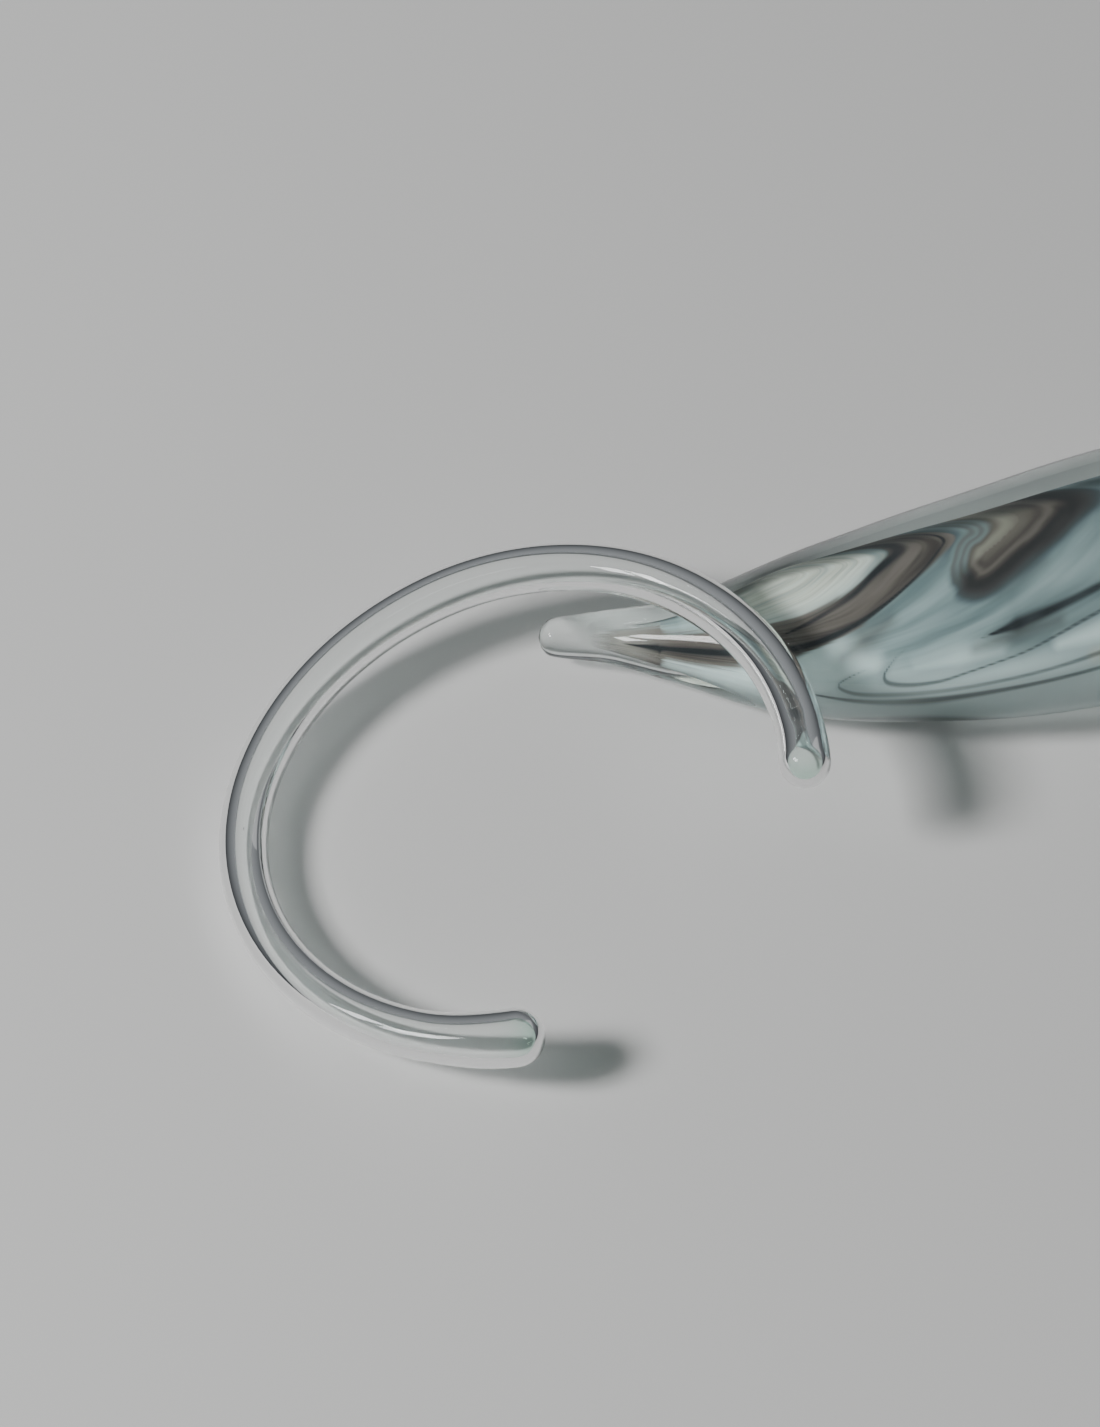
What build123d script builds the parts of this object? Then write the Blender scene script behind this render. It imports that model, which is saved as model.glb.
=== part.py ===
from build123d import *
import os
from math import atan2, cos, radians, sin

# A clear glass open ring leaning on a marbled glass leaf.
# Millimetres, +Z up, resting surface at Z = 0. The origin is the middle of the leaf's ground flat,
# under its widest place. +X runs from the leaf's clear nub towards its tail.

# ---- the marbled leaf: one row per cross-section, from the nub to the tail ----
# (x, y of the section's middle, half width, half height, gap under it)
# A negative gap is the depth that the ground flat takes off the underside.
LEAF_SECTIONS = (
    (-74.0, -7.3, 2.50, 2.50, 2.2),
    (-68.0, -7.4, 3.40, 3.10, 1.9),
    (-62.0, -8.5, 4.60, 4.30, 1.4),
    (-57.0, -9.2, 6.20, 5.60, 0.9),
    (-52.0, -9.7, 8.50, 6.85, 0.5),
    (-46.0, -9.9, 10.80, 8.25, 0.1),
    (-39.0, -9.8, 12.60, 9.60, -0.3),
    (-30.0, -8.5, 14.50, 10.50, -0.6),
    (-20.0, -6.4, 16.20, 11.00, -0.8),
    (-8.0, -2.6, 17.50, 11.20, -0.9),
    (4.0, 1.6, 17.80, 11.10, -0.9),
    (16.0, 6.4, 17.00, 10.60, -0.7),
    (28.0, 11.2, 14.80, 9.50, -0.3),
    (40.0, 15.8, 11.30, 7.80, 0.6),
    (50.0, 19.4, 7.70, 5.90, 1.7),
    (57.0, 21.9, 4.80, 4.10, 2.8),
)

# ---- the marbled core inside the leaf's clear glass ----
CORE_WIDTH_SHARE = 0.62  # of the leaf's half width at the same section
CORE_HEIGHT_SHARE = 0.56  # of the leaf's half height
CORE_SINK = 0.10  # share of the half height that the core sits below the leaf's middle
CORE_SHIFT = 0.03  # share of the half width that it sits nearer to the ring
CORE_FIRST, CORE_LAST = 1, 14  # the sections that the core spans
CORE_START_SHARE = 0.5  # how much of its full shares the core has at its first section
CORE_GROWTH = 4  # the number of sections over which it grows to them
CORE_POINT = 2.2  # length of the core's pointed end, in half widths

ROUND_END = 1.0  # length of a rounded end, in half widths
END_ANGLES = (15, 40, 65)  # where a closing end's sections lie on its quarter circle, in degrees

# ---- the open ring ----
ROD_D = 5.9  # glass rod, drawn round
FRONT_END_D = 6.9  # the end nearest the table swelled when it was fire polished
RAISED_END_D = 6.15  # the end lying over the leaf
RING_ARCS = ((36.2, 52.3), (30.8, 59.0), (37.7, 49.4), (32.6, 57.4), (33.0, 30.0))  # radius, degrees
SWELL_ARC = (33.0, 20.8)  # the last stretch, where the rod swells to its front end
SWELL_STEPS = 4
RING_START = (33.63, 1.44)  # centre of the raised end, in the ring's own plane
RING_START_HEADING = 91.0  # degrees from the ring's own x axis
RING_MIDDLE = (-78.0, -38.5, 10.0)
RING_RISE_X, RING_RISE_Y = 0.205, 0.052  # slope of the ring's plane

os.makedirs("parts", exist_ok=True)


def leaf_heading(index):
    """Direction of the leaf's middle line at a section, as a unit vector in plan."""
    before = LEAF_SECTIONS[max(index - 1, 0)]
    after = LEAF_SECTIONS[min(index + 1, len(LEAF_SECTIONS) - 1)]
    angle = atan2(after[1] - before[1], after[0] - before[0])
    return Vector(cos(angle), sin(angle), 0)


def leaf_section(index):
    """Plane (its x across the leaf), half width and half height of one of the leaf's sections."""
    x, y, half_width, half_height, gap = LEAF_SECTIONS[index]
    heading = leaf_heading(index)
    plane = Plane(origin=(x, y, gap + half_height), x_dir=(heading.Y, -heading.X, 0), z_dir=heading)
    return plane, half_width, half_height


def core_section(index):
    """The same for the core, which is smaller, lower and slightly nearer to the ring."""
    plane, half_width, half_height = leaf_section(index)
    middle = plane.origin + plane.x_dir * CORE_SHIFT * half_width - Vector(0, 0, CORE_SINK * half_height)
    growth = min(1, (index - CORE_FIRST) / CORE_GROWTH)
    share = CORE_START_SHARE + (1 - CORE_START_SHARE) * growth
    core_plane = Plane(origin=middle, x_dir=plane.x_dir, z_dir=plane.z_dir)
    return core_plane, half_width * CORE_WIDTH_SHARE * share, half_height * CORE_HEIGHT_SHARE * share


def closing_end(section, direction, length):
    """Sections that close a form past its first or last full one, smallest first."""
    plane, half_width, half_height = section
    reach = direction * length * half_width
    rows = []
    for angle in END_ANGLES:
        share = sin(radians(angle))
        rows.append((plane.offset(reach * cos(radians(angle))), half_width * share, half_height * share))
    return rows


def closed_form(rows, nub_end):
    """All the sections of a form, with both its ends closed."""
    nub = closing_end(rows[0], -1, nub_end)
    tail = closing_end(rows[-1], 1, ROUND_END)
    return nub + rows + tail[::-1]


# ---- the leaf's outer form, with a flat ground underneath ----
leaf_rows = [leaf_section(index) for index in range(len(LEAF_SECTIONS))]
with BuildPart() as leaf_form:
    for plane, half_width, half_height in closed_form(leaf_rows, ROUND_END):
        with BuildSketch(plane):
            Ellipse(half_width, half_height)
    loft()
    split(bisect_by=Plane.XY, keep=Keep.TOP)

# ---- the marbled core, a smaller form inside it ----
core_rows = [core_section(index) for index in range(CORE_FIRST, CORE_LAST + 1)]
with BuildPart() as marbled_core:
    for plane, half_width, half_height in closed_form(core_rows, CORE_POINT):
        with BuildSketch(plane):
            Ellipse(half_width, half_height)
    loft()

# ---- the clear glass cased round the core ----
with BuildPart() as clear_casing:
    add(leaf_form.part)
    add(marbled_core.part, mode=Mode.SUBTRACT)

# ---- the open ring, drawn as tangent arcs in its own leaning plane ----
ring_plane = Plane(
    origin=RING_MIDDLE,
    x_dir=(1, 0, RING_RISE_X),
    z_dir=(-RING_RISE_X, -RING_RISE_Y, 1),
)
start_direction = (cos(radians(RING_START_HEADING)), sin(radians(RING_START_HEADING)))

with BuildPart() as open_ring:
    with BuildLine(ring_plane) as bend:
        arc = JernArc(RING_START, start_direction, *RING_ARCS[0])
        for radius, turn in RING_ARCS[1:]:
            arc = JernArc(arc @ 1, arc % 1, radius, turn)
    with BuildSketch(Plane(origin=bend.line @ 0, z_dir=bend.line % 0)):
        Circle(ROD_D / 2)
    sweep()
    with BuildLine(ring_plane, mode=Mode.PRIVATE) as swell:
        JernArc(arc @ 1, arc % 1, *SWELL_ARC)
    for step in range(SWELL_STEPS + 1):
        share = step / SWELL_STEPS
        growth = (FRONT_END_D - ROD_D) / 2 * share**2 * (3 - 2 * share)
        with BuildSketch(Plane(origin=swell.line @ share, z_dir=swell.line % share)):
            Circle(ROD_D / 2 + growth)
    loft()
    with Locations(swell.line @ 1):
        Sphere(FRONT_END_D / 2)
    with Locations(bend.line @ 0):
        Sphere(RAISED_END_D / 2)

open_ring.part.label = "clear_open_ring"
marbled_core.part.label = "leaf_marbled_core"
clear_casing.part.label = "leaf_clear_casing"
export_step(open_ring.part, "parts/clear_open_ring.step")
export_step(marbled_core.part, "parts/leaf_marbled_core.step")
export_step(clear_casing.part, "parts/leaf_clear_casing.step")
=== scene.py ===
import math

import bmesh
import bpy
import numpy as np
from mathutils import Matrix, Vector
from mathutils.bvhtree import BVHTree


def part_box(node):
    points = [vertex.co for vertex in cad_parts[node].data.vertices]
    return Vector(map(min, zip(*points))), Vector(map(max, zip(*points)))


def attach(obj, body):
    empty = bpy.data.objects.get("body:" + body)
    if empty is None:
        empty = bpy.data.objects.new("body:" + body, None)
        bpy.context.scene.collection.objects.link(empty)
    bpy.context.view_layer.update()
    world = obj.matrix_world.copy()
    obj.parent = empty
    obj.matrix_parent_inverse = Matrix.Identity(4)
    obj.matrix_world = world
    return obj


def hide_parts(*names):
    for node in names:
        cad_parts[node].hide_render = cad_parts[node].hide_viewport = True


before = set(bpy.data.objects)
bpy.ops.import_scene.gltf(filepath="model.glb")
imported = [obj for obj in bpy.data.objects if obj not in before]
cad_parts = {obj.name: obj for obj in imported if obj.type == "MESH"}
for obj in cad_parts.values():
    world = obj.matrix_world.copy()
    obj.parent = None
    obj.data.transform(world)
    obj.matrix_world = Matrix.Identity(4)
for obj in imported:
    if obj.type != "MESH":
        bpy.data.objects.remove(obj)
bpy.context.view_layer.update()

ring_low, ring_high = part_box("clear_open_ring")
ring_middle = (ring_low + ring_high) / 2

MM = 0.001

# ---- the ring's line, as tangent arcs in its own leaning plane (the same numbers as the CAD, in mm) ----
ROD_R = 2.95
RAISED_END_R = 3.075
FRONT_END_R = 3.45
RING_ARCS = ((36.2, 52.3), (30.8, 59.0), (37.7, 49.4), (32.6, 57.4), (33.0, 50.8))  # radius, degrees
RING_START = (33.63, 1.44)
RING_START_HEADING = 91.0
RING_RISE = (0.205, 0.052)  # slope of the ring's plane along X and Y
SWELL_LENGTH = 12.0  # the rod swells over this length to its front end
COLLAR_LENGTH = 5.0  # and, less, over this one to its raised end

# ---- the small faults of a rod bent by hand, in mm ----
UNEVEN_RADIUS = 0.012
UNEVEN_PITCH = 60.0
UNEVEN_SEED = 11
BUBBLE_PLACES = (0.09, 0.24, 0.345, 0.47, 0.66, 0.83, 0.9)  # shares of the rod's length
BUBBLE_RADII = (0.05, 0.11)  # the smallest and the largest
BUBBLE_STRETCH = 0.8  # how much longer than wide a bubble is, as a share of its width
BUBBLE_REACH = 0.5  # how far from the rod's middle a bubble may lie each way, as a share of its radius
BUBBLE_SEED = 5
TINTED_SHARE = 0.055  # how much of the ring is tinted green at each end

# ---- how finely the glass is divided ----
RING_STEP = 0.25
RING_SIDES = 72
SKIN_ROWS = 420
SKIN_COLUMNS = 144
CORE_ROWS = 520
CORE_COLUMNS = 180
CAP_ANGLES = np.radians(np.arange(4, 90, 4))  # where a rounded end's rows lie on its quarter circle
END_CROWDING = 0.2  # 0 spaces the leaf's slices evenly, 1 crowds them at its ends as on a circle
FIT_RAYS = 24  # rays that find a slice's outline
NEAR_SLICE = 2.5 * MM  # vertices within this of a slice say where its middle is
GROUND_FLAT = 0.3 * MM  # below this height the outline belongs to the flat, not to the ellipse
SMOOTHING_PASSES = 30
KEPT_END = (3 * MM, 6 * MM)  # the smoothing of the slices starts between these distances from an end
EDGE_SOFTNESS = 0.5 * MM  # how rounded the flat's edge is

# ---- the marbling, in places on the core: (X in mm, across from -1 on the near side to 1 on the far) ----
ACROSS = (0.766, 0.643)  # how Y and Z add up to the way across: the layers stand square to it
# The core thins out into clear glass at both its ends.
CLEAR_X = (-71.0, -58.0, 43.0, 54.0)
CLEAR_SHARE = (1, 0, 0, 1)
UNDERSIDE_SHIFT = 9.0  # the marbling slides this far along X on its way down through the glass
UNDERSIDE_DEPTH = (0.1, -0.8)  # between these depths
# The streamlines climb across the leaf. Their slope changes along X, and its share across the leaf.
FLOW_START = -46.0
FLOW_STEPS = 90
FLOW_X = (-70, -52, -46, -42, -30, -10, 20, 45, 62)
FLOW_SLOPE = (0.002, 0.0, 0.02, 0.066, 0.082, 0.085, 0.05, 0.02, 0.0)
FLOW_ACROSS = (-1.0, -0.8, -0.5, -0.1, 0.2, 0.5)
FLOW_SHARE = (0.05, 0.2, 0.27, 0.3, 0.6, 1.0)
FLOW_WOBBLE = 0.012
WOBBLE_PITCH = 37.0
WOBBLE_LEAN = 0.3
WOBBLE_SEED = 21
# Painted shade on the core's far flank, a dark band that stands in for the shade seen there through the
# glass: between these places across, and between these depths at its top and its bottom.
FLANK_ACROSS = (0.93, 1.0)
FLANK_TOP = (0.12, -0.12)
FLANK_BOTTOM = (-0.75, -0.45)

# Each is a line, its half widths from end to end in mm, and how soft its edge is in mm.
BROWN_STROKES = (
    (
        ((-72, -0.1), (-62, -0.16), (-52, -0.14), (-46, -0.06), (-42, 0.1), (-38, 0.31), (-34, 0.58),
         (-30, 0.85), (-26, 1.12)),
        (0.3, 0.5, 0.9, 1.1, 1.3, 1.6, 1.7, 1.7, 1.6),
        0.5,
    ),
    (
        ((2, -1.15), (12, -0.72), (22, -0.38), (34, -0.08), (46, 0.05), (58, 0.02)),
        (0.8, 1.5, 1.9, 1.5, 0.9, 0.4),
        0.6,
    ),
)
PALE_STROKES = (
    (((-58, -0.5), (-50, -0.6), (-45, -0.55), (-40, -0.5), (-36, -0.55)), (1.0, 1.9, 2.3, 2.0, 0.8), 1.4),
    (((-66, -0.7), (-60, -0.75), (-53, -0.75), (-46, -0.8)), (0.4, 1.0, 1.4, 0.8), 1.0),
    (((-48, 0.42), (-43, 0.55), (-39, 0.78), (-36, 0.98)), (0.6, 0.9, 1.1, 0.8), 0.9),
    (((-31, -0.62), (-26, -0.58), (-21, -0.55)), (0.1, 0.7, 0.1), 2.0),
    (((-14, -0.6), (-6, -0.5), (6, -0.1), (18, 0.35)), (0.6, 1.2, 1.6, 1.2), 1.2),
    (((20, -0.75), (32, -0.45), (46, -0.3)), (0.6, 1.4, 0.6), 1.0),
    # This one runs along the near edge. It is partly real pale streaking and partly painted light, lifting
    # the near side, which lies in shade.
    (((-44, -0.96), (-34, -1.05), (-20, -1.06), (-4, -1.05), (10, -1.1)), (0.6, 2.4, 3.0, 2.8, 1.0), 2.0),
)
HAZE_STROKES = (
    (((-39.5, -0.38), (-37, -0.18), (-34, 0.06)), (0.3, 0.9, 0.3), 1.4),
    (((-24.5, 0.36), (-21, 0.3), (-16, 0.42)), (0.1, 0.8, 0.3), 1.8),
    (((-24, -0.48), (-20, -0.4), (-14, -0.33)), (0.1, 0.5, 0.3), 1.2),
    (((10, -0.6), (20, -0.3), (30, 0.0)), (0.1, 0.9, 0.2), 1.6),
)
CREAM_STROKES = (
    (((-50, 0.75), (-44, 0.8), (-39, 0.95), (-35, 1.1)), (1.0, 1.6, 1.6, 1.2), 1.2),
    (((-19.5, 0.98), (-16.5, 1.02), (-14, 1.1)), (0.8, 0.9, 0.6), 0.5),
    (((6, 0.95), (16, 0.75), (28, 0.6), (40, 0.5)), (0.8, 1.6, 1.4, 0.6), 1.2),
    (((-10, -0.78), (0, -0.85), (10, -1.0)), (0.4, 0.9, 0.8), 0.8),
)
SLATE_STROKES = (
    (((-32, 0.5), (-28, 0.8), (-25, 1.05)), (0.4, 1.2, 1.6), 1.2),
    (((-18, 0.35), (-13, 0.6), (-7, 0.8), (2, 0.95)), (0.5, 1.2, 1.6, 1.2), 1.5),
    (((-50, 0.2), (-44, 0.35), (-40, 0.5)), (0.5, 0.7, 0.4), 0.7),
    (((14, 0.2), (24, 0.25), (36, 0.2)), (0.6, 1.2, 0.8), 1.4),
)
STROKES = {
    "brown": BROWN_STROKES,
    "pale": PALE_STROKES,
    "cream": CREAM_STROKES,
    "slate": SLATE_STROKES,
    "haze": HAZE_STROKES,
}
# The middle lines of the nested hooks, from the tip of the hook.
FEATHERS = {
    "feather_a": ((-22.2, 0.66), (-18.5, 0.84), (-14, 1.04), (-8, 1.3)),
    "feather_b": ((26.0, -0.1), (30.5, 0.2), (36, 0.45), (44, 0.75)),
}
FEATHER_WIDTH = 3.3  # mm from a hook's middle line to its outside
FEATHER_TIP = 1.9  # how much further it reaches past its tip
FEATHER_LEAN = 0.85  # and how much less on its upper side than on its lower
# Thin dark lines in the glass: each is a line, its half widths from end to end in mm, and its strength.
THREAD_UNEVEN = 0.2
THREADS = {
    "thread_foot": (
        ((-66, -0.28), (-60, -0.27), (-55, -0.28), (-50, -0.26), (-45, -0.2), (-41, -0.06), (-38, 0.08),
         (-34, 0.33), (-30, 0.62), (-26, 0.96), (-23, 1.2)),
        (0.0, 0.1, 0.17, 0.2, 0.22, 0.22, 0.2, 0.14, 0.1, 0.1, 0.0),
        0.8,
    ),
    "thread_crown": (
        ((-47, 0.02), (-44, 0.17), (-41, 0.34), (-38, 0.53), (-35, 0.77), (-31, 0.97), (-28, 1.12)),
        (0.0, 0.12, 0.16, 0.24, 0.3, 0.3, 0.2),
        0.7,
    ),
    "thread_hook": (
        ((-31, -0.28), (-33, -0.42), (-34.3, -0.59), (-34.7, -0.7), (-34, -0.78), (-31.5, -0.815),
         (-28, -0.8), (-25, -0.74), (-22, -0.68), (-18, -0.6), (-14, -0.48), (-10, -0.36), (0, -0.1),
         (12, 0.15), (24, 0.45), (36, 0.8)),
        (0.0, 0.04, 0.1, 0.16, 0.17, 0.15, 0.12, 0.1, 0.10, 0.12, 0.16, 0.2, 0.2, 0.15, 0.1, 0.0),
        0.55,
    ),
    "thread_streak": (
        ((-23.5, -0.36), (-20.5, -0.30), (-19, -0.27), (-17, -0.23), (-14, -0.17), (-10, -0.08),
         (-2, 0.12), (8, 0.4), (18, 0.7)),
        (0.0, 0.3, 0.66, 0.6, 0.45, 0.38, 0.26, 0.15, 0.0),
        0.74,
    ),
    "thread_outer": (
        ((-36, -0.55), (-38.5, -0.66), (-40, -0.78), (-38.5, -0.87), (-35, -0.9), (-28, -0.9),
         (-20, -0.86), (-14, -0.82), (-9, -0.77), (4, -0.62), (20, -0.3), (36, 0.05), (50, 0.1)),
        (0.0, 0.06, 0.08, 0.1, 0.12, 0.12, 0.12, 0.14, 0.2, 0.24, 0.2, 0.1, 0.0),
        0.45,
    ),
    "thread_low": (
        ((-46, -0.86), (-38, -0.95), (-30, -0.965), (-20, -0.94), (-8, -0.9), (6, -0.8), (24, -0.5)),
        (0.0, 0.08, 0.13, 0.12, 0.12, 0.1, 0.0),
        0.55,
    ),
}

# ---- the clear glass ----
GLASS_IOR = 1.5
RING_TINT = (0.95, 0.985, 0.97)
RING_END_TINT = (0.60, 0.86, 0.74)
CASING_TINT = (0.95, 0.98, 0.97)
# How much lamp light passes the middle of each, and the edges of both.
RING_SHADE = (0.28, 0.31, 0.30)
CASING_SHADE = (0.62, 0.66, 0.65)
EDGE_SHADE = (0.06, 0.07, 0.067)
EDGE_FACING = (0.25, 0.85)  # from which facing to which the edge's shade takes over

# ---- the marbling's colours ----
OPAL_DEEP = (0.072, 0.104, 0.108)
OPAL = (0.125, 0.170, 0.174)
OPAL_LIGHT = (0.205, 0.262, 0.264)
OPAL_WHITE = (0.430, 0.520, 0.515)
CREAM = (0.370, 0.370, 0.305)
CREAM_WHITE = (0.500, 0.545, 0.510)
SLATE = (0.046, 0.064, 0.072)
BROWN_DEEP = (0.032, 0.029, 0.026)
BROWN = (0.068, 0.060, 0.053)
BROWN_LIGHT = (0.112, 0.100, 0.089)
BROWN_THIN = (0.175, 0.170, 0.155)
HAZE = (0.050, 0.050, 0.046)
THREAD = (0.014, 0.016, 0.018)
FLANK_PAINTED_SHADE = (0.020, 0.024, 0.025)
# the painted shade on the core's far flank, standing in for shade seen through the glass
TAN = (0.088, 0.083, 0.070)
SAND = (0.190, 0.188, 0.155)
BROAD_COLOURS = ((0.30, OPAL_DEEP), (0.48, OPAL), (0.70, OPAL_LIGHT))
CREAM_COLOURS = ((0.30, OPAL_LIGHT), (0.45, CREAM), (0.70, CREAM_WHITE))
BROWN_COLOURS = ((0.32, BROWN_DEEP), (0.45, BROWN), (0.66, BROWN_LIGHT))
# From a hook's middle outwards, on its lower and its upper side.
FEATHER_LOWER = (
    (0.0, TAN), (0.08, TAN), (0.18, BROWN), (0.27, BROWN_DEEP), (0.36, BROWN_LIGHT), (0.44, BROWN_DEEP),
    (0.56, THREAD), (0.74, BROWN_DEEP), (0.95, SLATE),
)
FEATHER_UPPER = (
    (0.0, TAN), (0.24, SAND), (0.38, TAN), (0.47, BROWN), (0.56, OPAL), (0.66, BROWN), (0.74, OPAL),
    (0.86, BROWN), (0.95, OPAL),
)

# ---- how the marbling's noise is used ----
STREAK_DETAIL = 2.5
STREAK_ROUGHNESS = 0.5
STREAK_SINK = 0.8  # how fast the streaks change with depth
BROAD_PITCH, BROAD_RUN, BROAD_SEED = 7.0, 0.45, 3.1  # streaks across, their run along, and which they are
FINE_PITCH, FINE_RUN, FINE_SEED = 15.0, 0.5, 11.7
SOFT_DETAIL = 2.0
SOFT_ROUGHNESS = 0.55
SOFT_RUN = 0.7
SOFT_SHIFT = 0.10  # how far soft noise moves the streamlines
# The streaks that take each colour, by their noise: none at the first value, and in full at the second.
PALE_STREAKS = (-0.25, 0.5)
SLATE_STREAKS = (0.3, 0.7)
CREAM_STREAKS = (0.15, 0.5)
HAZE_STRENGTH = 0.8
FLANK_SHADE_STRENGTH = 0.65
BROWN_EDGE = (0.25, 0.75)
BROWN_FRAY = 0.9  # how much the fine streaks fray the brown band's edge
HOOK_FRAY = 0.22  # and the hooks' lines
HOOK_WANDER = 0.3  # how much soft noise bends those lines
HOOK_SIDES = (-0.35, 0.35)  # a hook's lower colours turn into its upper ones between these
HOOK_EDGE = (1.08, 0.86)
LEAST_WIDTH = 0.001  # keeps a thread's ends from being divided by nothing
THREAD_EDGE = (1.8, 0.3)  # a thread fades between these multiples of its half width
HALO_EDGE = (7.0, 0.0)  # and so does the faint halo round it
HALO_STRENGTH = 0.3

# ---- how the core glows, and how it thins out at its ends ----
CORE_ROUGHNESS = 0.4
CORE_IOR = 1.05
CORE_GLOW = 0.4
CORE_GLOW_COLOUR = (1.0, 0.9, 0.85)
CORE_GLOW_REACH = 5 * MM
BROWN_THINS = (0.05, 0.6)
BROWN_HOLDS = 0.45  # how much longer the brown band lasts than the opal
FINE_HOLDS = 0.5  # and the densest of the fine streaks
THIN_START = 0.25
THIN_EDGE = (0.05, 0.5)
THIN_NEAR_END = (0.0, 0.3)

# ---- the room, in metres and watts; lamps are placed by direction and distance from the ring's middle ----
FLOOR_COLOUR = (0.42, 0.42, 0.416)
FLOOR_ROUGHNESS = 0.85
FLOOR_REACH = 3.0
SKY_LOW = (0.10, 0.11, 0.12)
SKY_HIGH = (0.66, 0.70, 0.73)
SKY_HIGH_AT = 0.75
SKY_IN_GLASS = 0.42  # its strength as the glass shows it
SKY_ON_FLOOR = 0.12  # and as it lights dull surfaces
KEY_DIRECTION = (-0.731, -0.244, 0.638)
KEY_DISTANCE = 1.3
KEY_SIZE = (0.28, 0.28)
KEY_POWER = 30
WINDOW_DIRECTION = (-0.721, -0.273, 0.639)
PANE_STEP = 0.11
PANE_SIZE = (0.2, 0.26)
PANE_POWER = 3.2
FILL_DIRECTION = (0.75, 0.35, 0.75)
FILL_DISTANCE = 1.6
FILL_SIZE = (1.2, 1.2)
FILL_POWER = 1.0
FRONT_DIRECTION = (0.25, -0.93, 0.22)
FRONT_DISTANCE = 1.2
FRONT_SIZE = (1.0, 0.3)
FRONT_POWER = 1.8

# ---- the camera ----
SENSOR_WIDTH = 36.0
LENS = 145.3
CAMERA_ELEVATION = math.radians(50)
CAMERA_DISTANCE = 0.6895
CAMERA_AIM = (0.0032, 0.0131, 0)  # from the ring's middle


# =====================================================================================
# Small helpers
# =====================================================================================
def smoothstep(low, high, value):
    """0 below low, 1 above high, and smooth between; low may be above high."""
    t = np.clip((value - low) / (high - low), 0.0, 1.0)
    return t * t * (3 - 2 * t)


def into_box(points, node):
    """Points scaled by a hair on each axis, so that they fill a CAD node's box exactly."""
    low, high = (np.array(corner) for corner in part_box(node))
    least, most = points.min(0), points.max(0)
    return low + (points - least) * (high - low) / (most - least)


def mesh_object(name, points, faces):
    """A smooth-shaded mesh object from points in metres."""
    mesh = bpy.data.meshes.new(name)
    mesh.from_pydata([tuple(p) for p in points], [], faces)
    mesh.validate()
    mesh.shade_smooth()
    made = bpy.data.objects.new(name, mesh)
    bpy.context.scene.collection.objects.link(made)
    return made


def tube_faces(rows, columns):
    """Quads round a tube of rows, with a fan to the pole point at each end."""
    faces = []
    for i in range(rows - 1):
        for j in range(columns):
            k = (j + 1) % columns
            faces.append((i * columns + j, i * columns + k, (i + 1) * columns + k, (i + 1) * columns + j))
    first_pole, last_pole = rows * columns, rows * columns + 1
    last_row = (rows - 1) * columns
    for j in range(columns):
        k = (j + 1) % columns
        faces.append((k, j, first_pole))
        faces.append((last_row + j, last_row + k, last_pole))
    return faces


def waves(value, seed, octaves):
    """Smooth one-dimensional noise between about -1 and 1, the same on every run."""
    rng = np.random.default_rng(seed)
    total = np.zeros_like(value, dtype=float)
    waves_an_octave = 3
    for octave in range(octaves):
        for _ in range(waves_an_octave):
            pitch = 2**octave * rng.uniform(0.7, 1.3)
            total += np.sin(value * pitch * 2 * math.pi + rng.uniform(0, 2 * math.pi)) / 2**octave
    usual_height = 3.4
    return total / usual_height


def bubbles(centres, radii, lines):
    """Closed shells drawn out along their lines and turned inside out, as points and faces."""
    made_points, made_faces, start = [], [], 0
    for centre, radius, along in zip(centres, radii, lines):
        shell = bmesh.new()
        bmesh.ops.create_icosphere(shell, subdivisions=2, radius=radius)
        bmesh.ops.reverse_faces(shell, faces=shell.faces)
        direction = Vector(along).normalized()
        for v in shell.verts:
            lift = v.co.dot(direction) * BUBBLE_STRETCH
            made_points.append(tuple(Vector(centre) + v.co + direction * lift))
        for f in shell.faces:
            made_faces.append(tuple(start + v.index for v in f.verts))
        start += len(shell.verts)
        shell.free()
    return made_points, made_faces


# =====================================================================================
# The open ring
# =====================================================================================
def ring_line():
    """Points, tangents and distance along the ring's middle line, in its own plane."""
    heading = math.radians(RING_START_HEADING)
    x, y = RING_START
    points, headings, lengths, done = [], [], [], 0.0
    for radius, turn in RING_ARCS:
        turn = math.radians(turn)
        steps = max(2, round(radius * turn / RING_STEP))
        centre_x, centre_y = x - radius * math.sin(heading), y + radius * math.cos(heading)
        for step in range(steps):
            angle = heading + turn * step / steps
            points.append((centre_x + radius * math.sin(angle), centre_y - radius * math.cos(angle)))
            headings.append(angle)
            lengths.append(done + radius * turn * step / steps)
        heading += turn
        done += radius * turn
        x, y = centre_x + radius * math.sin(heading), centre_y - radius * math.cos(heading)
    points.append((x, y))
    headings.append(heading)
    lengths.append(done)
    return np.array(points), np.array(headings), np.array(lengths)


def ring_axes():
    """The x and y axes of the ring's leaning plane, and its normal."""
    x_axis = np.array([1, 0, RING_RISE[0]])
    x_axis /= np.linalg.norm(x_axis)
    normal = np.array([-RING_RISE[0], -RING_RISE[1], 1.0])
    normal /= np.linalg.norm(normal)
    return x_axis, np.cross(normal, x_axis), normal


def ring_bubbles(line, along, outward, normal, shift):
    """Small bubbles trapped in the rod, as points and faces."""
    rng = np.random.default_rng(BUBBLE_SEED)
    centres, radii, lines = [], [], []
    for share in BUBBLE_PLACES:
        at = int(share * (len(line) - 1))
        off = rng.uniform(-BUBBLE_REACH, BUBBLE_REACH, 2) * ROD_R
        centres.append((line[at] + outward[at] * off[0] + normal * off[1]) * MM + shift)
        radii.append(rng.uniform(*BUBBLE_RADII) * MM)
        lines.append(along[at])
    return bubbles(centres, radii, lines)


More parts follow.
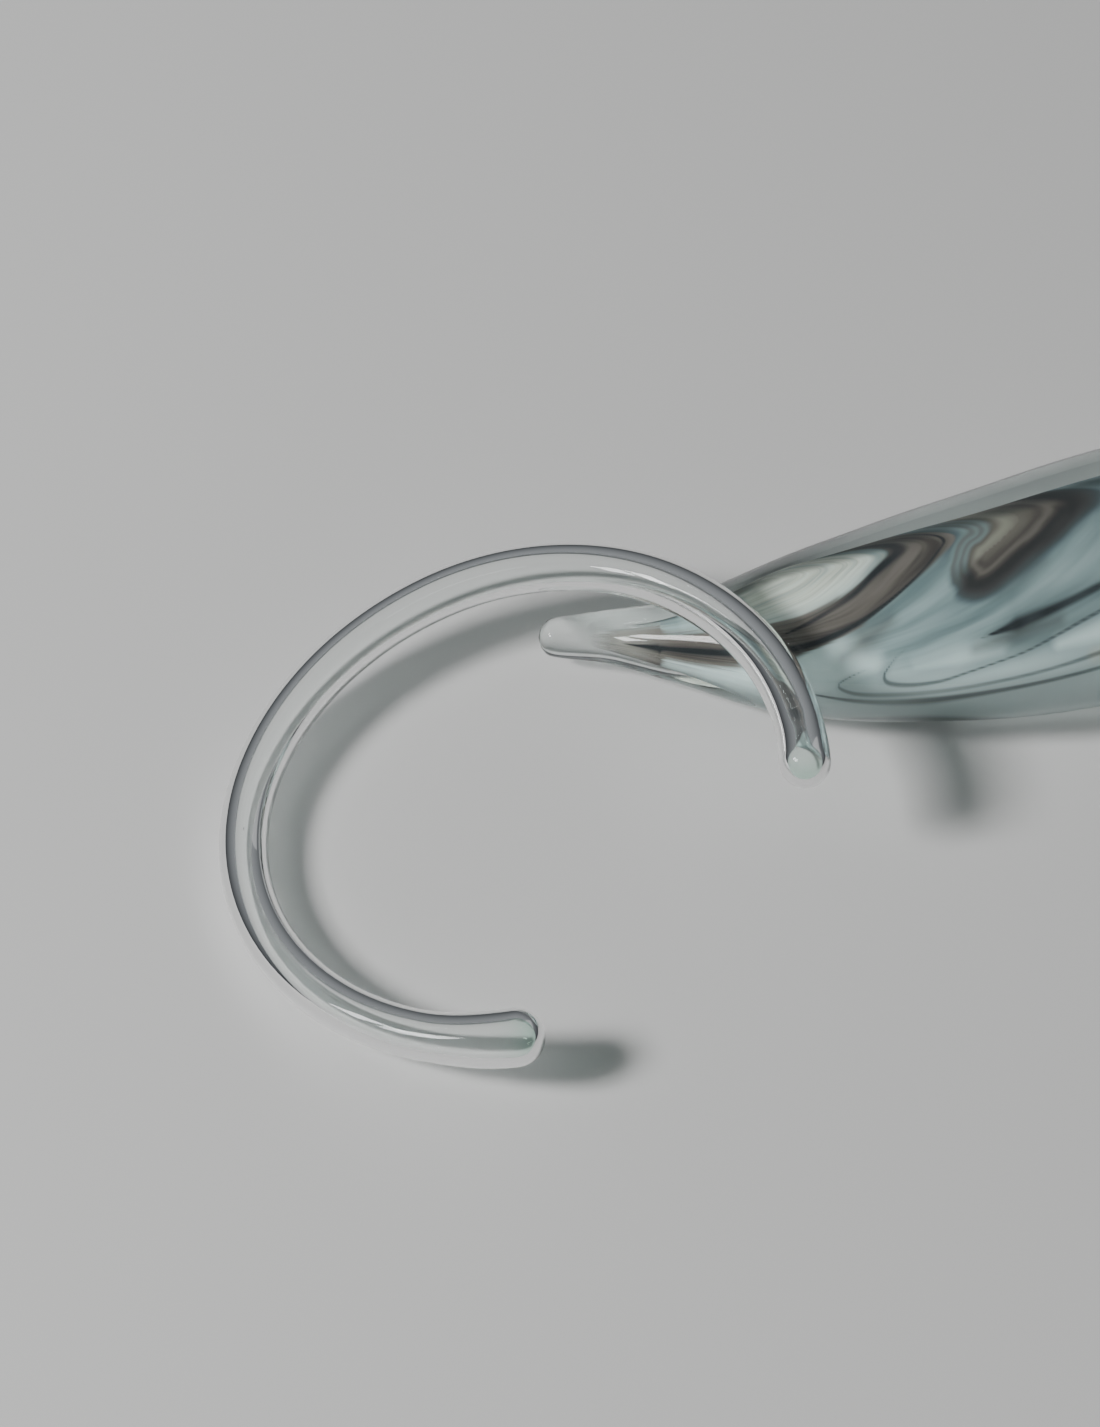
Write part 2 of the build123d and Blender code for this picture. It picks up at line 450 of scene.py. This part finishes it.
def make_ring():
    """The bent rod with its two rounded ends, placed where the CAD ring is."""
    flat, headings, lengths = ring_line()
    x_axis, y_axis, normal = ring_axes()
    line = np.outer(flat[:, 0], x_axis) + np.outer(flat[:, 1], y_axis)
    along = np.outer(np.cos(headings), x_axis) + np.outer(np.sin(headings), y_axis)
    outward = np.cross(along, normal)
    radius = ROD_R + (FRONT_END_R - ROD_R) * smoothstep(lengths[-1] - SWELL_LENGTH, lengths[-1], lengths)
    radius += (RAISED_END_R - ROD_R) * smoothstep(COLLAR_LENGTH, 0, lengths)
    radius += UNEVEN_RADIUS * waves(lengths / UNEVEN_PITCH, UNEVEN_SEED, 3)

    def cap(end, sign):
        """The places and radii of a rounded end's rows, from the rod outwards."""
        places = [line[end] + sign * along[end] * radius[end] * math.sin(a) for a in CAP_ANGLES]
        sizes = [radius[end] * math.cos(a) for a in CAP_ANGLES]
        return places, sizes

    head_places, head_sizes = cap(0, -1)
    tail_places, tail_sizes = cap(-1, 1)
    places = np.array(head_places[::-1] + list(line) + tail_places)
    sizes = np.array(head_sizes[::-1] + list(radius) + tail_sizes)
    cap_rows = len(CAP_ANGLES)
    sides = np.array([outward[0]] * cap_rows + list(outward) + [outward[-1]] * cap_rows)
    turn = np.arange(RING_SIDES) * 2 * math.pi / RING_SIDES
    rows = (
        places[:, None, :]
        + (sizes[:, None] * np.cos(turn))[:, :, None] * sides[:, None, :]
        + (sizes[:, None] * np.sin(turn))[:, :, None] * normal
    )
    poles = np.array([line[0] - along[0] * radius[0], line[-1] + along[-1] * radius[-1]])
    points = np.concatenate([rows.reshape(-1, 3), poles]) * MM
    shift = np.array(ring_middle) - (points.min(0) + points.max(0)) / 2
    points = into_box(points, "clear_open_ring")
    bubble_points, bubble_faces = ring_bubbles(line, along, outward, normal, shift)
    faces = tube_faces(len(rows), RING_SIDES)
    faces += [tuple(len(points) + i for i in f) for f in bubble_faces]
    ring = mesh_object("open_ring_glass", list(points) + bubble_points, faces)
    whole = np.linspace(0, 1, len(rows))
    ends = smoothstep(TINTED_SHARE, 0.0, whole) + smoothstep(1 - TINTED_SHARE, 1.0, whole)
    values = np.concatenate([np.repeat(ends, RING_SIDES), [1, 1], np.zeros(len(bubble_points))])
    tint = ring.data.attributes.new("end_tint", "FLOAT", "POINT")
    tint.data.foreach_set("value", values.astype(np.float32))
    return ring


# =====================================================================================
# The marbled leaf
# =====================================================================================
def fitted_ellipse(y, z):
    """The upright ellipse that fits points best: its middle, its half width and its half height."""
    table = np.stack([y * y, z * z, y, z], 1)
    p, q, r, s = np.linalg.lstsq(table, np.ones(len(y)), rcond=None)[0]
    size = 1 + r * r / (4 * p) + s * s / (4 * q)
    return -r / (2 * p), -s / (2 * q), math.sqrt(size / p), math.sqrt(size / q)


def slices_of(node, rows):
    """Upright slices of a long CAD node: their X, the ellipses that fit them, and the node's two ends.

    An ellipse is its middle's Y and Z, its half width and its half height.
    """
    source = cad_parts[node]
    vertices = np.array([v.co for v in source.data.vertices], float)
    tree = BVHTree.FromPolygons(
        [tuple(v) for v in vertices], [tuple(p.vertices) for p in source.data.polygons]
    )
    low, high = vertices.min(0), vertices.max(0)
    evenly = np.linspace(0, 1, rows + 2)[1:-1]
    crowded = (1 - np.cos(evenly * math.pi)) / 2
    x = low[0] + (high[0] - low[0]) * (END_CROWDING * crowded + (1 - END_CROWDING) * evenly)
    reach = float((high - low).max())
    fits = np.zeros((rows, 4))
    middle = np.array([0.0, (low[1] + high[1]) / 2, high[2] / 2])
    for i in range(rows):
        middle[0] = x[i]
        near = vertices[np.abs(vertices[:, 0] - x[i]) < NEAR_SLICE]
        middle[1] = (near[:, 1].min() + near[:, 1].max()) / 2
        middle[2] = (near[:, 2].min() + near[:, 2].max()) / 2
        hits = []
        for angle in np.linspace(0, 2 * math.pi, FIT_RAYS, endpoint=False):
            out = Vector((0, math.cos(angle), math.sin(angle)))
            hit = tree.ray_cast(Vector(middle) + out * reach, -out)[0]
            if hit is not None and (hit.z > GROUND_FLAT or low[2] > GROUND_FLAT):
                hits.append((hit - Vector(middle)) / MM)
        y, z = np.array(hits)[:, 1:].T
        fits[i] = np.array(fitted_ellipse(y, z)) * MM + (middle[1], middle[2], 0, 0)
    smooth = fits.copy()
    for _ in range(SMOOTHING_PASSES):
        smooth[1:-1] = (smooth[:-2] + 2 * smooth[1:-1] + smooth[2:]) / 4
    from_end = np.minimum(x - low[0], high[0] - x)
    fits += smoothstep(*KEPT_END, from_end)[:, None] * (smooth - fits)
    return x, fits, (float(low[0]), float(high[0]))


def soft_floor(z, softness):
    """The height z, levelled off at the ground with a rounded edge."""
    rounded = (z + softness) ** 2 / (4 * softness)
    return np.where(z < -softness, 0.0, np.where(z > softness, z, rounded))


def skin_of(node, rows, columns):
    """A regular smooth skin of a long CAD node: its rows of points, then its two tips."""
    x, fits, ends = slices_of(node, rows)
    y, z, wide, high = fits.T
    turn = np.arange(columns) * 2 * math.pi / columns
    points = np.zeros((rows, columns, 3))
    points[:, :, 0] = x[:, None]
    points[:, :, 1] = y[:, None] + wide[:, None] * np.cos(turn)
    points[:, :, 2] = soft_floor(z[:, None] + high[:, None] * np.sin(turn), EDGE_SOFTNESS)
    tips = np.array([[ends[0], y[0], z[0]], [ends[1], y[-1], z[-1]]])
    return into_box(np.concatenate([points.reshape(-1, 3), tips]), node)


def make_casing():
    """The clear glass body as one closed skin. The core sits in it, with no gap between."""
    points = skin_of("leaf_clear_casing", SKIN_ROWS, SKIN_COLUMNS)
    return mesh_object("leaf_glass", points, tube_faces(SKIN_ROWS, SKIN_COLUMNS))


def core_places(x, fits, points):
    """Where each core point lies in the marbling, and how many mm an across of 1 is on its row.

    A place is X in mm, across from -1 on the near side to 1 on the far one, and depth, 1 on top.
    """
    y, z, wide, high = fits.T
    across_size = np.hypot(ACROSS[0] * wide, ACROSS[1] * high)
    depth_size = np.hypot(ACROSS[1] * wide, ACROSS[0] * high)
    out_y = points[:, :, 1] - y[:, None]
    out_z = points[:, :, 2] - z[:, None]
    across = (ACROSS[0] * out_y + ACROSS[1] * out_z) / across_size[:, None]
    depth = (ACROSS[0] * out_z - ACROSS[1] * out_y) / depth_size[:, None]
    return points[:, :, 0] / MM, across, depth, across_size / MM


def smooth_line(points, steps=8):
    """A smooth line (Catmull-Rom) through given points."""
    points = np.array(points, float)
    ends = np.concatenate([[2 * points[0] - points[1]], points, [2 * points[-1] - points[-2]]])
    share = np.linspace(0, 1, steps, endpoint=False)[:, None]
    made = []
    for a, b, c, d in zip(ends, ends[1:], ends[2:], ends[3:]):
        curve = 2 * b + (c - a) * share + (2 * a - 5 * b + 4 * c - d) * share**2
        made.append((curve + (3 * b - 3 * c + d - a) * share**3) / 2)
    return np.concatenate(made + [points[-1:]])


def to_line(line, x, across, size_at):
    """For each point, its distance in mm from a line of (X, across) points, and where it lies there.

    That is its side of the line (-1 to 1), the share along the line, and how far back past the line's
    start it points (1 straight back, 0 beside the line).
    """
    line = smooth_line(line)
    place = np.stack([x.ravel(), (across * size_at(x)).ravel()], 1)
    route = np.stack([line[:, 0], line[:, 1] * size_at(line[:, 0])], 1)
    best = np.full(len(place), 1e9)
    side, share, back = np.zeros(len(place)), np.zeros(len(place)), np.zeros(len(place))
    for i, (start, end) in enumerate(zip(route, route[1:])):
        step = end - start
        length = np.hypot(*step)
        step = step / length
        out = place - start
        along = np.clip(out @ step, 0, length)
        gap = out - along[:, None] * step
        distance = np.hypot(gap[:, 0], gap[:, 1])
        nearer = distance < best
        best[nearer] = distance[nearer]
        reach = np.maximum(distance, 1e-6)
        side[nearer] = ((step[0] * gap[:, 1] - step[1] * gap[:, 0]) / reach)[nearer]
        back[nearer] = (-(gap @ step) / reach)[nearer]
        share[nearer] = ((i + along / length) / (len(route) - 1))[nearer]
    shape = x.shape
    return best.reshape(shape), side.reshape(shape), share.reshape(shape), back.reshape(shape)


def flow_label(x, across):
    """Which streamline passes through each point, traced back to where the band leaves the nub."""
    place, label = x.copy(), across.copy()
    stride = (x - FLOW_START) / FLOW_STEPS
    for _ in range(FLOW_STEPS):
        slope = np.interp(place, FLOW_X, FLOW_SLOPE) * np.interp(label, FLOW_ACROSS, FLOW_SHARE)
        label = label - slope * stride
        place = place - stride
    return label


def give(mesh, name, kind, values):
    """Store one value a vertex, with the two tips taking their neighbours'."""
    if kind == "FLOAT":
        flat = np.concatenate([values.ravel(), [values[0].mean(), values[-1].mean()]])
        mesh.attributes.new(name, kind, "POINT").data.foreach_set("value", flat.astype(np.float32))
        return
    flat = np.stack([np.concatenate([v.ravel(), [v[0].mean(), v[-1].mean()]]) for v in values], 1)
    mesh.attributes.new(name, kind, "POINT").data.foreach_set("vector", flat.astype(np.float32).ravel())


def make_core():
    """The marbled glass, with the fields that its material draws the marbling from, and the mask of the
    painted shade on its far flank.
    """
    x_rows, fits, _ = slices_of("leaf_marbled_core", CORE_ROWS)
    skin = skin_of("leaf_marbled_core", CORE_ROWS, CORE_COLUMNS)
    core = mesh_object("leaf_marbled_glass", skin, tube_faces(CORE_ROWS, CORE_COLUMNS))
    points = skin[:-2].reshape(CORE_ROWS, CORE_COLUMNS, 3)
    x, across, depth, sizes = core_places(x_rows, fits, points)

    def size_at(where):
        return np.interp(where, x[:, 0], sizes)

    give(core.data, "clear", "FLOAT", np.interp(x, CLEAR_X, CLEAR_SHARE))
    # The layers lean as they go down through the glass, so the underside isn't a copy of the top.
    x = x + UNDERSIDE_SHIFT * smoothstep(*UNDERSIDE_DEPTH, depth)
    wobble = FLOW_WOBBLE * waves(x / WOBBLE_PITCH + WOBBLE_LEAN * across, WOBBLE_SEED, 3)
    label = flow_label(x, across) + wobble
    # The material's noise takes the way along in centimetres.
    give(core.data, "flow", "FLOAT_VECTOR", (label, x / 10, depth))
    give(core.data, "across", "FLOAT", across)

    def near_line(line, half_widths):
        """Each point's distance from a line, the line's half width there, and the share along it."""
        distance, _, share, _ = to_line(line, x, across, size_at)
        return distance, np.interp(share, np.linspace(0, 1, len(half_widths)), half_widths), share

    def area(line, half_widths, softness):
        """1 on a line and 0 off it, with a soft edge at its half width."""
        distance, wide, _ = near_line(line, half_widths)
        return smoothstep(wide + softness, wide - softness, distance)

    for name, strokes in STROKES.items():
        give(core.data, name, "FLOAT", np.maximum.reduce([area(*stroke) for stroke in strokes]))
    # Where the painted shade on the far flank lies: a dark band, not a colour of the glass.
    flank_depth = smoothstep(*FLANK_TOP, depth) * smoothstep(*FLANK_BOTTOM, depth)
    give(core.data, "flank", "FLOAT", smoothstep(*FLANK_ACROSS, across) * flank_depth)

    for name, line in FEATHERS.items():
        distance, side, _, back = to_line(line, x, across, size_at)
        width = FEATHER_WIDTH + FEATHER_TIP * np.clip(back, 0, 1) ** 2 - FEATHER_LEAN * side
        give(core.data, name, "FLOAT", distance / width)
        give(core.data, name + "_side", "FLOAT", side)
    for name, (line, half_widths, strength) in THREADS.items():
        distance, wide, share = near_line(line, half_widths)
        uneven = strength * (1 + THREAD_UNEVEN * waves(2 * share, len(name), 2))
        give(core.data, name, "FLOAT_VECTOR", (distance, wide, uneven))
    return core


# =====================================================================================
# Materials
# =====================================================================================
class Look:
    """A new material's nodes, with one short call for each kind."""

    def __init__(self, name):
        self.material = bpy.data.materials.new(name)
        self.material.use_nodes = True
        self.nodes = self.material.node_tree.nodes
        self.shader = self.nodes["Principled BSDF"]
        self.output = self.nodes["Material Output"]

    def feed(self, socket, value):
        """Link a socket to an output, or set it to a plain value."""
        if isinstance(value, bpy.types.NodeSocket):
            self.material.node_tree.links.new(value, socket)
        else:
            socket.default_value = value

    def math(self, operation, a, b, clamp=False):
        """The result of a sum on two values."""
        node = self.nodes.new("ShaderNodeMath")
        node.operation = operation
        node.use_clamp = clamp
        self.feed(node.inputs[0], a)
        self.feed(node.inputs[1], b)
        return node.outputs[0]

    def between(self, value, low, high):
        """0 where the value is at low, 1 where it is at high, smooth between."""
        node = self.nodes.new("ShaderNodeMapRange")
        node.interpolation_type = "SMOOTHSTEP"
        self.feed(node.inputs["Value"], value)
        node.inputs["From Min"].default_value = low
        node.inputs["From Max"].default_value = high
        return node.outputs["Result"]

    def blend(self, share, a, b):
        """Colour a where the share is 0, and b where it is 1."""
        node = self.nodes.new("ShaderNodeMix")
        node.data_type = "RGBA"
        self.feed(node.inputs["Factor"], share)
        self.feed(node.inputs["A"], a if isinstance(a, bpy.types.NodeSocket) else (*a, 1))
        self.feed(node.inputs["B"], b if isinstance(b, bpy.types.NodeSocket) else (*b, 1))
        return [out for out in node.outputs if out.type == "RGBA"][0]

    def ramp(self, value, stops):
        """A colour for each value, from (place, colour) stops."""
        node = self.nodes.new("ShaderNodeValToRGB")
        node.color_ramp.interpolation = "B_SPLINE"
        while len(node.color_ramp.elements) < len(stops):
            node.color_ramp.elements.new(0.5)
        for element, (place, colour) in zip(node.color_ramp.elements, stops):
            element.position = place
            element.color = (*colour, 1)
        self.feed(node.inputs["Fac"], value)
        return node.outputs["Color"]

    def field(self, name, output="Fac"):
        """A value that the mesh stores at each vertex."""
        node = self.nodes.new("ShaderNodeAttribute")
        node.attribute_name = name
        return node.outputs[output]

    def parts(self, vector):
        """A vector's three values."""
        node = self.nodes.new("ShaderNodeSeparateXYZ")
        self.feed(node.inputs[0], vector)
        return node.outputs[:]

    def noise(self, a, b, c, detail, roughness):
        """Noise over three coordinates of the maker's own choosing, about 0.5 in the middle."""
        place = self.nodes.new("ShaderNodeCombineXYZ")
        for socket, value in zip(place.inputs, (a, b, c)):
            self.feed(socket, value)
        node = self.nodes.new("ShaderNodeTexNoise")
        self.feed(node.inputs["Vector"], place.outputs[0])
        node.inputs["Scale"].default_value = 1.0
        node.inputs["Detail"].default_value = detail
        node.inputs["Roughness"].default_value = roughness
        return node.outputs["Fac"]

    def let_through(self, share, colour=(1, 1, 1, 1)):
        """Mix the shader with plain transparency by a share, as the material's surface."""
        clear = self.nodes.new("ShaderNodeBsdfTransparent")
        self.feed(clear.inputs["Color"], colour)
        mix = self.nodes.new("ShaderNodeMixShader")
        self.feed(mix.inputs["Fac"], share)
        self.feed(mix.inputs[1], self.shader.outputs["BSDF"])
        self.feed(mix.inputs[2], clear.outputs["BSDF"])
        self.feed(self.output.inputs["Surface"], mix.outputs["Shader"])


def glass_material(name, tint, shade, end_tint=None):
    """Clear glass that lets lamp light through, so that what is in it and behind it is lit."""
    look = Look(name)
    shader = look.shader
    shader.inputs["Base Color"].default_value = (*tint, 1)
    shader.inputs["Roughness"].default_value = 0.0
    shader.inputs["IOR"].default_value = GLASS_IOR
    shader.inputs["Transmission Weight"].default_value = 1.0
    if end_tint:
        look.feed(shader.inputs["Base Color"], look.blend(look.field("end_tint"), tint, end_tint))
    facing = look.nodes.new("ShaderNodeLayerWeight").outputs["Facing"]
    passed = look.blend(look.between(facing, *EDGE_FACING), shade, EDGE_SHADE)
    shadow = look.nodes.new("ShaderNodeLightPath").outputs["Is Shadow Ray"]
    look.let_through(shadow, passed)
    return look.material


def with_hooks(look, colour, fine_swing, soft):
    """The colour with the nested hooks over it, frayed by the streaks."""
    for name in FEATHERS:
        wisps = look.math("MULTIPLY", fine_swing, HOOK_FRAY)
        nest = look.math("ADD", look.field(name), wisps)
        nest = look.math("ADD", nest, look.math("MULTIPLY", soft, HOOK_WANDER))
        lower = look.ramp(nest, FEATHER_LOWER)
        upper = look.ramp(nest, FEATHER_UPPER)
        side = look.between(look.field(name + "_side"), *HOOK_SIDES)
        colour = look.blend(look.between(nest, *HOOK_EDGE), colour, look.blend(side, lower, upper))
    return colour


def with_threads(look, colour):
    """The colour with the thin dark threads over it, each in a faint halo."""
    for name in THREADS:
        distance, wide, strength = look.parts(look.field(name, "Vector"))
        widths_off = look.math("DIVIDE", distance, look.math("ADD", wide, LEAST_WIDTH))
        line = look.between(widths_off, *THREAD_EDGE)
        halo = look.math("MULTIPLY", look.between(widths_off, *HALO_EDGE), HALO_STRENGTH)
        dark = look.math("MULTIPLY", look.math("ADD", line, halo), strength, clamp=True)
        colour = look.blend(dark, colour, THREAD)
    return colour


def marbled_material():
    """Opal glass with brown, cream and slate streaks, nested hooks and thin dark threads, and painted shade
    on the core's far flank.
    """
    look = Look("marbled_glass")
    label, along, depth = look.parts(look.field("flow", "Vector"))
    across = look.field("across")
    cloud = look.noise(look.math("MULTIPLY", along, SOFT_RUN), across, depth, SOFT_DETAIL, SOFT_ROUGHNESS)
    soft = look.math("SUBTRACT", cloud, 0.5)
    label = look.math("ADD", label, look.math("MULTIPLY", soft, SOFT_SHIFT))

    def streaks(pitch, run, seed):
        """Noise drawn out along the streamlines."""
        return look.noise(
            look.math("MULTIPLY", label, pitch),
            look.math("MULTIPLY", along, run),
            look.math("ADD", look.math("MULTIPLY", depth, STREAK_SINK), seed),
            STREAK_DETAIL,
            STREAK_ROUGHNESS,
        )

    broad = streaks(BROAD_PITCH, BROAD_RUN, BROAD_SEED)
    fine = streaks(FINE_PITCH, FINE_RUN, FINE_SEED)
    fine_swing = look.math("SUBTRACT", fine, 0.5)

    colour = look.ramp(broad, BROAD_COLOURS)
    # Pale streaks. Their band along the near edge is partly painted light on the shaded near side.
    pale = look.math("MULTIPLY", look.field("pale"), look.between(broad, *PALE_STREAKS))
    colour = look.blend(pale, colour, OPAL_WHITE)
    slate = look.math("MULTIPLY", look.field("slate"), look.between(fine, *SLATE_STREAKS))
    colour = look.blend(slate, colour, SLATE)
    colour = look.blend(look.math("MULTIPLY", look.field("haze"), HAZE_STRENGTH), colour, HAZE)
    cream = look.math("MULTIPLY", look.field("cream"), look.between(broad, *CREAM_STREAKS))
    colour = look.blend(cream, colour, look.ramp(fine, CREAM_COLOURS))

    frayed = look.math("ADD", look.field("brown"), look.math("MULTIPLY", fine_swing, BROWN_FRAY))
    brown = look.between(frayed, *BROWN_EDGE)
    browns = look.ramp(fine, BROWN_COLOURS)
    browns = look.blend(look.between(look.field("clear"), *BROWN_THINS), browns, BROWN_THIN)
    colour = look.blend(brown, colour, browns)

    colour = with_threads(look, with_hooks(look, colour, fine_swing, soft))
    # Painted shade: darkens the core's far flank.
    colour = look.blend(look.math("MULTIPLY", look.field("flank"), FLANK_SHADE_STRENGTH), colour, FLANK_PAINTED_SHADE)
    look.feed(look.shader.inputs["Base Color"], colour)
    look.shader.inputs["Roughness"].default_value = CORE_ROUGHNESS
    look.shader.inputs["IOR"].default_value = CORE_IOR
    look.shader.inputs["Subsurface Weight"].default_value = CORE_GLOW
    look.shader.inputs["Subsurface Radius"].default_value = CORE_GLOW_COLOUR
    look.shader.inputs["Subsurface Scale"].default_value = CORE_GLOW_REACH

    # Near its ends the colour thins out into clear glass, first between its streaks.
    brown_hold = look.math("MULTIPLY", brown, BROWN_HOLDS)
    fine_hold = look.math("MULTIPLY", fine, FINE_HOLDS)
    started = look.math("ADD", look.field("clear"), THIN_START)
    thin = look.math("SUBTRACT", started, look.math("ADD", brown_hold, fine_hold))
    near_end = look.between(look.field("clear"), *THIN_NEAR_END)
    look.let_through(look.math("MULTIPLY", look.between(thin, *THIN_EDGE), near_end))
    return look.material


def floor_material():
    """The plain pale floor."""
    look = Look("pale_floor")
    look.shader.inputs["Base Color"].default_value = (*FLOOR_COLOUR, 1)
    look.shader.inputs["Roughness"].default_value = FLOOR_ROUGHNESS
    return look.material


# =====================================================================================
# Stage
# =====================================================================================
def make_floor():
    """A flat square at the height that the object stands on."""
    corners = [(x * FLOOR_REACH, y * FLOOR_REACH, 0) for x, y in ((-1, -1), (1, -1), (1, 1), (-1, 1))]
    floor = mesh_object("floor", corners, [(0, 1, 2, 3)])
    floor.data.materials.append(floor_material())


def make_sky():
    """A pale surround, darker towards the floor, and weaker as a light than the glass shows it."""
    world = bpy.data.worlds.new("studio")
    world.use_nodes = True
    nodes, links = world.node_tree.nodes, world.node_tree.links
    direction = nodes.new("ShaderNodeTexCoord")
    parts = nodes.new("ShaderNodeSeparateXYZ")
    ramp = nodes.new("ShaderNodeValToRGB")
    links.new(direction.outputs["Generated"], parts.inputs[0])
    links.new(parts.outputs["Z"], ramp.inputs["Fac"])
    links.new(ramp.outputs["Color"], nodes["Background"].inputs["Color"])
    ramp.color_ramp.elements[0].position = 0.0
    ramp.color_ramp.elements[0].color = (*SKY_LOW, 1)
    ramp.color_ramp.elements[1].position = SKY_HIGH_AT
    ramp.color_ramp.elements[1].color = (*SKY_HIGH, 1)
    path = nodes.new("ShaderNodeLightPath")
    strength = nodes.new("ShaderNodeMapRange")
    links.new(path.outputs["Is Diffuse Ray"], strength.inputs["Value"])
    strength.inputs["To Min"].default_value = SKY_IN_GLASS
    strength.inputs["To Max"].default_value = SKY_ON_FLOOR
    links.new(strength.outputs["Result"], nodes["Background"].inputs["Strength"])
    bpy.context.scene.world = world


def softbox(name, direction, distance, size, power):
    """A rectangular area lamp that faces the ring's middle from a direction."""
    lamp = bpy.data.lights.new(name, "AREA")
    lamp.shape = "RECTANGLE"
    lamp.size, lamp.size_y = size
    lamp.energy = power
    made = bpy.data.objects.new(name, lamp)
    back = Vector(direction).normalized()
    made.location = ring_middle + back * distance
    made.rotation_euler = back.to_track_quat("Z", "Y").to_euler()
    bpy.context.scene.collection.objects.link(made)
    return made


def make_lights():
    """A soft key from the left, two window panes for the glass to reflect, and two weak fills."""
    key = softbox("key", KEY_DIRECTION, KEY_DISTANCE, KEY_SIZE, KEY_POWER)
    key.visible_glossy = False
    window = Vector(WINDOW_DIRECTION)
    sideways = window.cross(Vector((0, 0, 1))).normalized()
    for name, step in (("window_pane_a", -PANE_STEP), ("window_pane_b", PANE_STEP)):
        softbox(name, window + sideways * step, KEY_DISTANCE, PANE_SIZE, PANE_POWER)
    softbox("fill", FILL_DIRECTION, FILL_DISTANCE, FILL_SIZE, FILL_POWER)
    front = softbox("front_fill", FRONT_DIRECTION, FRONT_DISTANCE, FRONT_SIZE, FRONT_POWER)
    front.visible_glossy = False


def make_camera():
    """A long lens in front of the ring, looking down at it."""
    data = bpy.data.cameras.new("camera")
    data.sensor_width = SENSOR_WIDTH
    data.lens = LENS
    camera = bpy.data.objects.new("camera", data)
    back = Vector((0, -math.cos(CAMERA_ELEVATION), math.sin(CAMERA_ELEVATION)))
    camera.location = ring_middle + Vector(CAMERA_AIM) + back * CAMERA_DISTANCE
    camera.rotation_euler = (math.pi / 2 - CAMERA_ELEVATION, 0, 0)
    bpy.context.scene.collection.objects.link(camera)
    bpy.context.scene.camera = camera


ring = make_ring()
ring.data.materials.append(glass_material("ring_glass", RING_TINT, RING_SHADE, RING_END_TINT))
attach(ring, "ring")
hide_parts("clear_open_ring")

casing = make_casing()
casing.data.materials.append(glass_material("casing_glass", CASING_TINT, CASING_SHADE))
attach(casing, "leaf")
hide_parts("leaf_clear_casing")

core = make_core()
core.data.materials.append(marbled_material())
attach(core, "leaf")
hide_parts("leaf_marbled_core")

make_floor()
make_sky()
make_lights()
make_camera()
